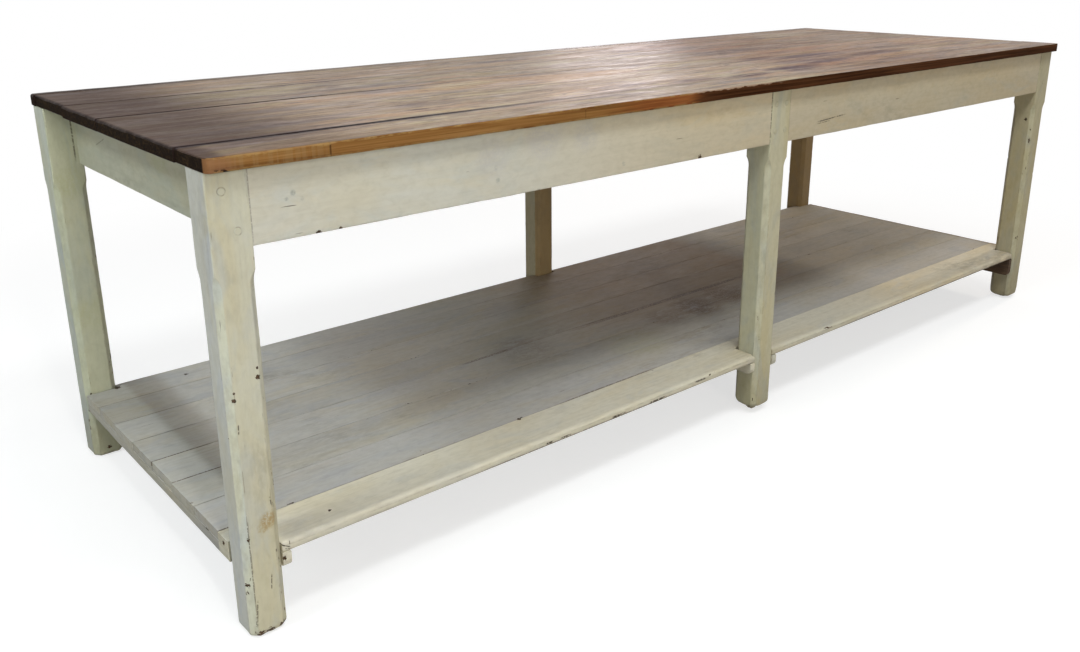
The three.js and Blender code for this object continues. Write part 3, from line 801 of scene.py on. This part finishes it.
def joint_lines():
    """Dark lines where the front aprons meet the legs, on the legs' side and on the aprons' side."""
    rows = []
    for leg, side, share in (
        ("leg_front_left", 1, 0.45),
        ("leg_front_middle", -1, 0.95),
        ("leg_front_middle", 1, 0.4),
        ("leg_front_right", -1, 0.4),
    ):
        low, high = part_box(leg)
        rows.append((high.x if side > 0 else low.x, low.y, 0.77, 0.082, 0.0015, 0.0, share))
    return scratches("ZX", dark_line, rows)


leg_marks = {
    "spots": [
        (-1.3379, -0.465, 0.4823, 0.0044), (-1.3379, -0.465, 0.498, 0.0022),
        (-1.3813, -0.465, 0.452, 0.004), (-1.3799, -0.465, 0.4655, 0.0022),
        (-1.3832, -0.465, 0.197, 0.0032), (-1.3895, -0.4567, 0.108, 0.0042),
        (-1.3589, -0.464, 0.008, 0.006), (-1.3756, -0.463, 0.006, 0.008), (-1.334, -0.464, 0.01, 0.006),
        (-1.3588, 0.395, 0.021, 0.0045), (1.323, -0.442, 0.6115, 0.0045),
    ],
    "stains": [
        (-1.343, -0.465, 0.222, 0.021, 0.95, brown_stain),
        (-1.355, -0.465, 0.21, 0.014, 0.8, brown_stain),
        (-1.33, -0.465, 0.64, 0.014, 0.2, brown_stain),
        (-1.36, 0.4, 0.66, 0.05, 0.45, green_stain),
        (-1.35, 0.4, 0.36, 0.06, 0.35, green_stain),
    ],
    "scratches": scratches("ZX", dark_line, [
        (-1.349, -0.465, 0.102, 0.017, 0.0013, 0.093, 0.9),
        (-1.379, -0.465, 0.401, 0.01, 0.0016, 0.05, 0.9),
        (-1.3372, -0.465, 0.255, 0.01, 0.0015, -0.1, 0.8), (-1.3812, -0.465, 0.15, 0.11, 0.0011, 0.0, 0.7),
        (-1.38, -0.465, 0.05, 0.03, 0.0022, 0.1, 0.7), (-1.335, -0.465, 0.158, 0.004, 0.0016, 0.0, 0.8),
        (-1.3405, 0.395, 0.765, 0.066, 0.0024, 0.0, 0.75),
    ]) + joint_lines(),
    "rings": peg_rings(),
    "arris_share": 0.5,
}
apron_marks = {
    "spots": [
        (-0.2813, -0.4635, 0.7006, 0.0055), (-1.21, -0.4625, 0.6995, 0.0045), (-1.17, -0.4625, 0.7, 0.004),
    ],
    "stains": [
        (-1.25, -0.4635, 0.7735, 0.0065, 0.6, grey_stain),
        (-1.262, -0.4635, 0.765, 0.0045, 0.5, grey_stain),
        (-1.235, -0.4635, 0.762, 0.005, 0.4, grey_stain),
        (-0.841, -0.4635, 0.733, 0.007, 0.5, grey_stain),
        (-0.845, -0.4635, 0.757, 0.006, 0.45, grey_stain),
        (-0.515, -0.4635, 0.7208, 0.007, 0.8, grey_stain),
        (-0.73, -0.4635, 0.8, 0.06, 0.4, lilac_stain),
        (-0.85, -0.4635, 0.775, 0.05, 0.35, lilac_stain),
        (-0.62, -0.4635, 0.79, 0.045, 0.35, lilac_stain),
        (-1.335, -0.1, 0.8, 0.06, 0.5, green_stain),
        (-1.335, 0.15, 0.815, 0.05, 0.4, green_stain),
    ],
    "scratches": scratches("XZ", dark_line, [
        (0.207, -0.4635, 0.7367, 0.066, 0.0022, 0.059, 0.85),
        (0.175, -0.4635, 0.73, 0.03, 0.0018, 0.05, 0.6),
    ]) + scratches("YZ", dark_line, [(-1.333, 0.23, 0.77, 0.035, 0.0018, -0.35, 0.5)]) + joint_lines(),
}
shelf_marks = {
    "spots": [
        (-1.17, 0.365, shelf_top, 0.004), (-1.207, -0.417, shelf_top, 0.003),
        (-1.322, 0.392, shelf_top, 0.007), (-1.3203, -0.461, 0.1345, 0.0045),
        (-1.392, -0.375, 0.152, 0.004), (-0.7106, -0.352, shelf_top, 0.004),
    ],
    "stains": [
        (0.13, -0.115, shelf_top, 0.1, 0.7, rust_stain),
        (0.28, -0.095, shelf_top, 0.11, 0.7, rust_stain),
        (0.0, -0.12, shelf_top, 0.08, 0.4, rust_stain),
        (-0.45, -0.05, shelf_top, 0.12, 0.3, rust_stain),
        (-0.2, -0.2, shelf_top, 0.12, 0.25, green_stain),
    ],
    "scratches": scratches("XY", brown_line, [
        (0.12, -0.026, shelf_top, 0.42, 0.011, 0.0, 0.75),
        (-0.55, -0.024, shelf_top, 0.09, 0.007, 0.0, 0.6),
        (-0.44, -0.3505, shelf_top, 0.18, 0.003, 0.0, 0.8),
        (-1.345, -0.3505, shelf_top, 0.06, 0.0024, 0.0, 0.9),
        (-1.33, -0.1302, shelf_top, 0.1, 0.0022, 0.0, 0.9),
        (-1.34, -0.02, shelf_top, 0.08, 0.002, 0.0, 0.8),
    ]) + scratches("XZ", dark_line, [
        (-0.387, -0.46, 0.149, 0.03, 0.0042, 0.0, 1.0), (-0.511, -0.46, 0.15, 0.024, 0.004, 0.0, 1.0),
        (-0.669, -0.46, 0.15, 0.016, 0.0034, 0.0, 1.0), (-0.715, -0.46, 0.151, 0.01, 0.0028, 0.0, 1.0),
        (-0.24, -0.46, 0.156, 0.022, 0.003, 0.0, 0.9), (-0.6, -0.46, 0.147, 0.35, 0.0024, 0.0, 0.75),
        (0.85, -0.46, 0.1465, 0.6, 0.0032, 0.0, 0.8), (-1.315, -0.46, 0.156, 0.009, 0.0016, -0.6, 1.0),
        (-1.312, -0.46, 0.15, 0.006, 0.0013, -0.3, 0.9),
    ]) + scratches("ZX", dark_line, [(-1.308, -0.46, 0.157, 0.006, 0.0013, 0.2, 0.8)]),
}
leg_paint = painted_wood(
    "leg_paint", (rgb(0.57, 0.558, 0.445), rgb(0.55, 0.515, 0.365), rgb(0.5, 0.51, 0.46)), leg_tint,
    leg_marks, chip_share=0.15, dirt=0.3, strokes=0.18, sheen=0.25, film_start=0.72)
apron_paint = painted_wood(
    "apron_paint", (rgb(0.545, 0.545, 0.49), rgb(0.545, 0.52, 0.425), rgb(0.5, 0.515, 0.48)), apron_tint,
    apron_marks, chip_share=0.1, dirt=0.3, strokes=0.18, sheen=0.25, film_start=0.7)
shelf_paint = painted_wood(
    "shelf_paint", (rgb(0.44, 0.43, 0.385), rgb(0.43, 0.4, 0.32), rgb(0.39, 0.39, 0.37)), shelf_tint,
    shelf_marks, chip_share=0.1, dirt=0.4, strokes=0.3, sheen=0.12, film_start=0.92)
top_wood = waxed_top("top_wood", False)
front_top_wood = waxed_top("front_top_wood", True)
top_end_grain = end_grain("top_end_grain")
bare_wood = raw_wood("bare_wood")
iron = rusty_iron("iron")


# Legs

def leg_section(chamfer, half):
    """Points round a leg's section, side after side, as (x, y, wear)."""
    ease = 0.0011
    run = half - chamfer
    flat = run - ease
    row = [(-flat, -half, 0.8)]
    row += [((share - 0.5) * 2 * flat, -half, 0.0) for share in (0.07, 0.2, 0.4, 0.6, 0.8, 0.93)]
    row += [(flat, -half, 0.8)]
    row += [(run + ease * 0.7, -half + ease * 0.7, 1.0), (half - ease * 0.7, -run - ease * 0.7, 1.0)]
    points = []
    for side in range(4):
        cosine = math.cos(side * math.pi / 2)
        sine = math.sin(side * math.pi / 2)
        points += [(x * cosine - y * sine, x * sine + y * cosine, wear) for x, y, wear in row]
    return points


def leg_chamfer(z):
    """Width cut off a leg's edge at a height: full below the stop, a small arris in the head."""
    head = 0.0022
    rise = held((z - stop_bottom) / stop_length)
    return head + (chamfer_width - head) * (1 - rise * rise)


def close_ring(bm, lower, upper):
    """Faces between two rings of vertices."""
    for index in range(len(lower)):
        follow = (index + 1) % len(lower)
        bm.faces.new((lower[index], lower[follow], upper[follow], upper[index]))


def build_leg(node, seed, foot_radius, foot_rise):
    """A leg with dents, chipped arrises and an eased foot, whose edge is worn up by the foot's rise."""
    low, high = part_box(node)
    centre_x = (low.x + high.x) / 2
    centre_y = (low.y + high.y) / 2
    half = (high.x - low.x) / 2
    bm = bmesh.new()
    wear = []
    levels = [foot_radius * share for share in (0.0, 0.12, 0.35, 0.65, 1.0)]
    for start, end, spacing in (
        (foot_radius, stop_bottom, 0.0075),
        (stop_bottom, stop_top, 0.003),
        (stop_top, high.z, 0.0075),
    ):
        levels += spread(start, end, spacing)[1:]

    def worn_point(x, y, z, edge):
        corner = min(1.0, (abs(x) + abs(y)) / (2 * half))
        place = (centre_x + x, centre_y + y, z)
        dent = 0.00035 * (1 + ripple(place, 22, seed))
        chip = max(0.0, ripple(place, 75, seed + 3) - 0.45) * 0.005 * edge
        foot_chip = max(0.0, ripple(place, 60, seed + 5)) * 0.006 * max(0.0, 1 - z / 0.03) * corner
        shrink = quarter_drop(z, foot_radius) * (0.85 + 0.3 * corner) + dent + chip + foot_chip
        point = Vector((x, y, 0)) - Vector((x, y, 0)).normalized() * shrink
        lift = max(0.0, 1 - z / 0.06) + 0.8 * (corner - 0.5) * max(0.0, 1 - z / 0.05)
        return centre_x + point.x, centre_y + point.y, z + foot_rise * lift

    rings = []
    for z in levels:
        section = leg_section(leg_chamfer(z), half)
        rings.append([bm.verts.new(worn_point(x, y, z, edge)) for x, y, edge in section])
        wear += [min(1.0, edge * 0.9 + max(0.0, 0.8 - z / 0.035)) for _, _, edge in section]
    for lower, upper in zip(rings, rings[1:]):
        close_ring(bm, lower, upper)
    sole = rings[0]
    for share in (0.75, 0.4):
        inner = []
        for vertex in rings[0]:
            x = centre_x + (vertex.co.x - centre_x) * share
            y = centre_y + (vertex.co.y - centre_y) * share
            inner.append(bm.verts.new((x, y, vertex.co.z * share * share)))
            wear.append(1.0)
        close_ring(bm, inner, sole)
        sole = inner
    bm.faces.new(list(reversed(sole)))
    bm.faces.new(rings[-1])
    for vertex in sole:
        vertex.co.z = 0.0
    finish_piece(
        node, bm, [leg_paint], "zxy", wear, seed, smooth_angle=0.3,
        origin=(centre_x, centre_y, 0))


feet = {
    "leg_front_left": (0.013, 0.0),
    "leg_front_middle": (0.018, 0.012),
    "leg_front_right": (0.016, 0.005),
    "leg_back_left": (0.010, 0.001),
    "leg_back_middle": (0.010, 0.001),
    "leg_back_right": (0.010, 0.001),
}
for number, (node, (foot_radius, foot_rise)) in enumerate(feet.items()):
    build_leg(node, number + 1, foot_radius, foot_rise)


# Boards of every kind

def moved_in(place, amount, low, high):
    """A place near the low or the high rim, moved away from it."""
    if place - low < rim_reach:
        return place + amount
    if high - place < rim_reach:
        return place - amount
    return place


def worn_outline(seed, dents, span_u, span_v):
    """Moves places near the rim inwards a little, so that a board's edges aren't ruled lines."""
    def shift(u, v):
        wave_u = dents * (1 + ripple((u, v, 0), 16, seed))
        wave_v = dents * (1 + ripple((u, v, 5), 13, seed))
        chip = max(0.0, ripple((u, v, 2), 55, seed) - 0.42) * 5 * dents
        return moved_in(u, wave_u, *span_u), moved_in(v, wave_v + chip, *span_v)
    return shift


def closing_seams(shift, sides, start, reach):
    """Draws the rims that meet another board together, more and more from a place along the board.

    sides holds, for each such rim, its v and the direction from it into the board.
    """
    closed_gap = 0.0005

    def closed_shift(u, v):
        moved_u, moved_v = shift(u, v)
        closed = held((u - start) / reach)
        for rim_v, inwards in sides:
            if abs(v - rim_v) < rim_reach:
                moved_v = v + (moved_v - v) * (1 - closed) - inwards * closed_gap * closed
        return moved_u, moved_v
    return closed_shift


def build_board(node, slot, material, seed, axes, arris, dents, across):
    """A plain board: axes names its length, its width and its thickness."""
    span_u, span_v, (base, crown) = spans_of(node, axes)
    lines_u = near_edges(*span_u, spacing=0.014, arris=arris)
    lines_v = near_edges(*span_v, spacing=across, arris=arris)

    def height(u, v):
        dip = 0.00035 * (1 + ripple((u, v, 9), 7, seed))
        return base + dip, crown - dip

    def arris_at(u, v, upper):
        return arris * (0.75 + 0.5 * ripple((u, v, 3), 28, seed))

    shift = worn_outline(seed, dents, span_u, span_v)
    bm, wear = slab(axes, lines_u, lines_v, [0, 0.5, 1], height, arris_at, shift)
    finish_piece(node, bm, [material], axes, wear, seed)


rails = {
    "apron_front_left": ("apron_paint", apron_paint, 20, "xzy"),
    "apron_front_right": ("apron_paint", apron_paint, 21, "xzy"),
    "apron_back_left": ("apron_paint", apron_paint, 22, "xzy"),
    "apron_back_right": ("apron_paint", apron_paint, 23, "xzy"),
    "end_rail_left": ("apron_paint", apron_paint, 26, "yzx"),
    "end_rail_right": ("apron_paint", apron_paint, 27, "yzx"),
    "cross_rail_middle": ("bare_wood", bare_wood, 30, "yzx"),
}
for node, settings in rails.items():
    build_board(node, *settings, arris=0.002, dents=0.0004, across=0.02)
for node, seed in (("shelf_end_batten_left", 32), ("shelf_end_batten_right", 33)):
    build_board(node, "shelf_paint", shelf_paint, seed, "yxz", arris=0.003, dents=0.0003, across=0.006)


# Top planks

def rounded_corners(shift, corners, radius=0.011):
    """Rounds corners of a board; each has its u and v and, for both, the direction into the board."""
    def rounded_shift(u, v):
        moved_u, moved_v = shift(u, v)
        for corner_u, corner_v, inwards_u, inwards_v in corners:
            off_u = (moved_u - corner_u) * inwards_u - radius
            off_v = (moved_v - corner_v) * inwards_v - radius
            if off_u < 0 and off_v < 0:
                size = max(-off_u, -off_v) / math.hypot(off_u, off_v)
                moved_u = corner_u + inwards_u * (radius + off_u * size)
                moved_v = corner_v + inwards_v * (radius + off_v * size)
        return moved_u, moved_v
    return rounded_shift


def build_plank(node, seed, surface, outer, rim_wear):
    """A plank of the top; outer is -1 for the front one, 1 for the back one and 0 between them."""
    (low_u, high_u), (low_v, high_v), (base, crown) = spans_of(node, "xyz")
    lines_u = near_edges(low_u, high_u, spacing=0.013, arris=0.003)
    lines_v = near_edges(low_v, high_v, spacing=0.02 if high_v - low_v > 0.05 else 0.006, arris=0.002)
    sides = [(low_v, 1), (high_v, -1)]

    def height(u, v):
        dip = 0.0003 * (1 + ripple((u, v, 9), 6, seed)) + 0.00025 * (1 + ripple((u, v * 5, 4), 9, seed))
        return base + 0.0005, crown - dip

    def arris_at(u, v, upper):
        open_end = held((-0.6 - u) / 0.8)
        size = 0.0012 + 0.0036 * open_end if upper else 0.002
        return size * (0.75 + 0.6 * ripple((u, v, 3), 24, seed))

    shift = worn_outline(seed, 0.0005, (low_u, high_u), (low_v, high_v))
    seams = [side for side in sides if side[1] != -outer]
    shift = closing_seams(shift, seams, start=-1.1, reach=0.5)
    shift = rounded_corners(shift, [
        (corner_u, corner_v, inwards_u, inwards_v)
        for corner_v, inwards_v in sides if inwards_v == -outer
        for corner_u, inwards_u in ((low_u, 1), (high_u, -1))
    ])
    rows = [0, 0.25, 0.5, 0.75, 1]
    bm, wear = slab("xyz", lines_u, lines_v, rows, height, arris_at, shift, rim_wear=rim_wear)
    finish_piece(node, bm, [surface, top_end_grain], "xyz", wear, seed)


build_plank("top_plank_front", 41, front_top_wood, outer=-1, rim_wear=0.2)
build_plank("top_plank_wide", 42, top_wood, outer=0, rim_wear=0.9)
build_plank("top_plank_centre", 43, top_wood, outer=0, rim_wear=0.9)
build_plank("top_plank_back", 44, top_wood, outer=0, rim_wear=0.9)
build_plank("top_plank_back_strip", 45, top_wood, outer=1, rim_wear=0.9)


# Shelf boards, the outer two notched round the legs

def build_shelf_board(index):
    """A board of the shelf, 1 at the front to 8 at the back."""
    node = f"shelf_board_{index}"
    seed = 50 + index
    outer = {1: -1, 8: 1}.get(index, 0)
    gap = 0.0008
    (low_u, high_u), (low_v, high_v), (base, crown) = spans_of(node, "xyz")
    notches = []
    marks_v = [low_v, high_v]
    settings_v = [(0.02, 0.0015)]
    notch_v = -outer * (leg_high.y + gap)
    if outer:
        for leg in ("left", "middle", "right"):
            leg_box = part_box(f"leg_front_{leg}")
            notches.append((leg_box[0].x - gap, leg_box[1].x + gap))
        marks_v = [low_v, notch_v, high_v]
        settings_v = [(0.012, 0.0025), (0.015, 0.0015)][::-outer]
    marks_u = [low_u, high_u] + [mark for notch in notches for mark in notch if low_u < mark < high_u]
    lines_u = joined_lines(sorted(marks_u), [(0.015, 0.0015)] * len(marks_u))
    lines_v = joined_lines(marks_v, settings_v)
    free_edge = low_v if outer < 0 else high_v

    def filled(u, v):
        return v * outer <= notch_v * outer or not any(start < u < end for start, end in notches)

    def height(u, v):
        return base, crown - 0.0003 * (1 + ripple((u, v, 9), 8, seed))

    def arris_at(u, v, upper):
        if outer and abs(v - free_edge) < 0.009:
            return 0.008 if upper else 0.005
        return 0.0008 * (0.8 + 0.5 * ripple((u, v, 3), 30, seed))

    seams = [side for side in ((low_v, 1), (high_v, -1)) if side[1] != -outer]
    shift = worn_outline(seed, 0.0002, (low_u, high_u), (low_v, high_v))
    shift = closing_seams(shift, seams, start=-0.9, reach=0.9)
    bm, wear = slab("xyz", lines_u, lines_v, [0, 0.3, 0.7, 1], height, arris_at, shift, filled)
    finish_piece(node, bm, [shelf_paint, shelf_paint], "xyz", wear, seed)


for index in range(1, 9):
    build_shelf_board(index)


# Shelf bearers, with rounded noses

def build_bearer(node, seed, material):
    """A bearer across the table, its underside rounded up at both ends."""
    nose = 0.012
    (low_u, high_u), (low_v, high_v), (base, crown) = spans_of(node, "yxz")
    lines_u = near_edges(low_u, high_u, spacing=0.012, arris=nose / 5)
    lines_v = near_edges(low_v, high_v, spacing=0.005, arris=0.0016)

    def height(u, v):
        return base + quarter_drop(min(u - low_u, high_u - u), nose), crown

    def arris_at(u, v, upper):
        return 0.0014 * (0.8 + 0.5 * ripple((u, v, 3), 30, seed))

    shift = worn_outline(seed, 0.0003, (low_u, high_u), (low_v, high_v))
    bm, wear = slab("yxz", lines_u, lines_v, [0, 0.3, 0.6, 1], height, arris_at, shift)
    finish_piece(node, bm, [material, material], "yxz", wear, seed)


build_bearer("shelf_bearer_left", 61, shelf_paint)
build_bearer("shelf_bearer_middle_left", 62, shelf_paint)
build_bearer("shelf_bearer_middle_right", 63, shelf_paint)
build_bearer("shelf_bearer_right", 64, bare_wood)

# Pegs and screws keep their solids
for name, node in nodes.items():
    for start, material in (("peg_", leg_paint), ("rail_screw_", iron)):
        if name.startswith(start):
            node.data.materials.clear()
            node.data.materials.append(material)


# Floor, light and camera

def link_to_scene(name, data):
    """An object of the scene that shows some data."""
    thing = bpy.data.objects.new(name, data)
    bpy.context.scene.collection.objects.link(thing)
    return thing


def seen_rays(tree):
    """1 for the rays that show the background: from the camera, in gloss and through glass."""
    path = tree.nodes.new("ShaderNodeLightPath")
    total = path.outputs["Is Camera Ray"]
    for ray in ("Is Glossy Ray", "Is Transmission Ray"):
        larger = tree.nodes.new("ShaderNodeMath")
        larger.operation = "MAXIMUM"
        tree.links.new(total, larger.inputs[0])
        tree.links.new(path.outputs[ray], larger.inputs[1])
        total = larger.outputs[0]
    return total


def build_floor():
    """A plain pale floor that keeps the table's shadow near it and fades to the white background."""
    mesh = bpy.data.meshes.new("floor")
    reach = 30.0
    corners = [(-reach, -reach, 0), (reach, -reach, 0), (reach, reach, 0), (-reach, reach, 0)]
    mesh.from_pydata(corners, [], [(0, 1, 2, 3)])
    graph = Graph("floor")
    inputs = graph.shader.inputs
    seen = seen_rays(graph.tree)
    graph.link(inputs["Base Color"], graph.mix(seen, rgb(0.4, 0.39, 0.38), rgb(0.43, 0.43, 0.43)))
    graph.link(inputs["Emission Strength"], graph.times(seen, 0.66))
    inputs["Emission Color"].default_value = rgb(1.0, 1.0, 1.0)
    inputs["Roughness"].default_value = 0.9
    inputs["Specular IOR Level"].default_value = 0.05
    white = graph.add("ShaderNodeEmission", {"Color": rgb(1.0, 1.0, 1.0), "Strength": 1.0})
    fade = graph.times(graph.band(graph.distance((0.0, 0.0, 0.0)), 1.7, 3.0), seen)
    surface = graph.add("ShaderNodeMixShader", {0: fade, 1: graph.shader.outputs[0], 2: white})
    graph.link(graph.tree.nodes["Material Output"].inputs["Surface"], surface)
    mesh.materials.append(graph.material)
    floor = link_to_scene("floor", mesh)


build_floor()


def add_lamp(name, place, target, size, power, colour, spread=180):
    """A rectangular lamp that shines from a place towards a target."""
    lamp = bpy.data.lights.new(name, "AREA")
    lamp.shape = "RECTANGLE"
    lamp.size, lamp.size_y = size
    lamp.energy = power
    lamp.spread = math.radians(spread)
    lamp.color = colour
    thing = link_to_scene(name, lamp)
    thing.location = place
    thing.rotation_euler = (Vector(target) - Vector(place)).to_track_quat("-Z", "Y").to_euler()


lamps = {
    "front_lamp": ((-1.9, -5.0, 1.1), (-0.6, 0.0, 0.5), (0.8, 0.8), 56, (1.0, 0.94, 0.8)),
    "left_beam": ((-1.9, -4.6, 2.5), (-1.75, 0.0, 0.1), (0.35, 0.35), 3.3, (1.0, 0.97, 0.92), 50),
    "ceiling_row": ((-0.5, -1.9, 4.0), (-0.4, -0.3, 0.3), (3.4, 0.8), 84, (0.97, 1.0, 1.0)),
    "left_lamp": ((-4.2, -0.3, 4.0), (-1.0, 0.0, 0.2), (0.8, 0.8), 64, (0.88, 0.97, 1.0)),
    "low_left_lamp": ((-5.4, -0.9, 2.5), (-1.0, 0.0, 0.2), (1.2, 1.2), 36, (0.84, 0.95, 1.0)),
    "right_lamp": ((4.85, -0.3, 3.67), (0.8, 0.0, 0.2), (0.35, 0.35), 56, (1.0, 0.9, 0.78)),
    "glare_lamp": ((2.42, 2.6, 1.6), (-0.2, -0.2, 0.85), (0.7, 0.9), 9.8, (1.0, 0.88, 0.88)),
}
for lamp_name, settings in lamps.items():
    add_lamp(lamp_name, *settings)


def build_world():
    """Even white light, weaker for the rays that don't show the background."""
    world = bpy.data.worlds.new("studio")
    bpy.context.scene.world = world
    world.use_nodes = True
    tree = world.node_tree
    strength = tree.nodes.new("ShaderNodeMix")
    strength.data_type = "FLOAT"
    strength.inputs[2].default_value = 0.27
    strength.inputs[3].default_value = 1.0
    tree.links.new(seen_rays(tree), strength.inputs[0])
    background = tree.nodes["Background"]
    background.inputs["Color"].default_value = rgb(1.0, 1.0, 1.0)
    tree.links.new(strength.outputs[0], background.inputs["Strength"])


build_world()


def build_camera():
    """The photograph's view: solved from the table's edges in it."""
    yaw, pitch, roll = 0.6957, -0.3029, -0.0064
    focal_pixels, image_width = 995.98, 1080
    centre_drop_pixels = 61.8
    forward = Vector((math.sin(yaw) * math.cos(pitch), math.cos(yaw) * math.cos(pitch), math.sin(pitch)))
    level_right = forward.cross(Vector((0, 0, 1))).normalized()
    level_up = level_right.cross(forward)
    right = level_right * math.cos(roll) + level_up * math.sin(roll)
    up = level_up * math.cos(roll) - level_right * math.sin(roll)
    camera = bpy.data.cameras.new("camera")
    camera.sensor_width = 36.0
    camera.lens = focal_pixels / image_width * camera.sensor_width
    camera.shift_y = -centre_drop_pixels / image_width
    thing = link_to_scene("camera", camera)
    thing.matrix_world = Matrix((
        (right.x, up.x, -forward.x, -1.9375),
        (right.y, up.y, -forward.y, -1.8961),
        (right.z, up.z, -forward.z, 1.1336),
        (0, 0, 0, 1),
    ))
    bpy.context.scene.camera = thing


build_camera()
bpy.context.scene.view_settings.view_transform = "Standard"
